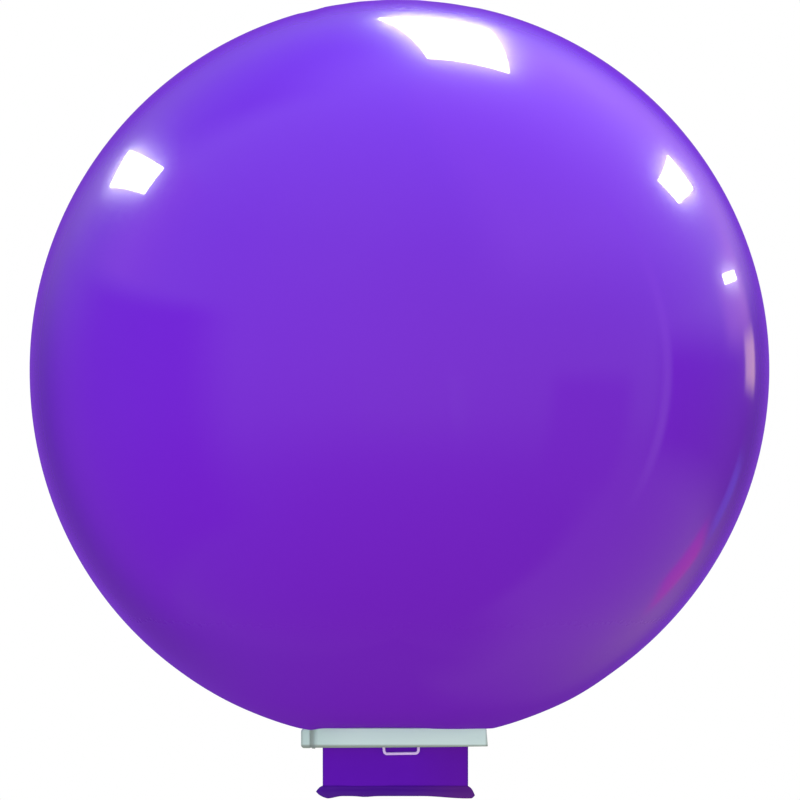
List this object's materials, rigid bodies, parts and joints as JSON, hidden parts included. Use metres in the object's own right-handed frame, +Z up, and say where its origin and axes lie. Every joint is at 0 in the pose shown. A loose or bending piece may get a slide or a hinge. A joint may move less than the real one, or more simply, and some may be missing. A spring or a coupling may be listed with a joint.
{
  "type": "giant balloon with closing clip",
  "caption": "Giant round latex balloon whose flat neck is folded and pressed shut in a hinged bar clip with a small tie loop; the rolled mouth hangs below.",
  "frame": {"origin": "under the balloon's centre, level with the lowest point of the mouth bead, with the balloon upright above its clip", "axes": "+Z up through the balloon; +X to the right as seen from the clip's plain face, away from its hinge; -Y out of that face"},
  "size_m": [0.7198, 0.7198, 0.778],
  "materials": {
    "balloon_film": "gloss",
    "bead_latex": "satin",
    "clip_plastic": "satin",
    "loop_plastic": "gloss",
    "pin_plastic": "satin"
  },
  "bodies": {
    "balloon": {"balloon_envelope": "balloon_film", "neck_sleeve": "balloon_film", "clip_front_arm": "clip_plastic", "hinge_pin": "pin_plastic"},
    "rear_arm": {"clip_rear_arm": "clip_plastic"},
    "loop": {"tie_loop": "loop_plastic"},
    "tail": {"neck_tail": "balloon_film", "mouth_bead": "bead_latex"}
  },
  "joints": [
    {"name": "clip_hinge", "type": "hinge", "parent": "balloon", "child": "rear_arm", "pos_m": [-0.09145, -0.00305, 0.06], "axis": [0, 0, 1], "range_deg": [0, 90]},
    {"name": "loop_swing", "type": "hinge", "parent": "balloon", "child": "loop", "pos_m": [0.00145, -0.004, 0.0528], "axis": [1, 0, 0], "range_deg": [-38, 5]},
    {"name": "tail_flap", "type": "hinge", "parent": "balloon", "child": "tail", "pos_m": [-0.004, 0, 0.0506], "axis": [1, 0, 0], "range_deg": [-4, 70], "stiffness_Nm_per_rad": 0.002}
  ]
}
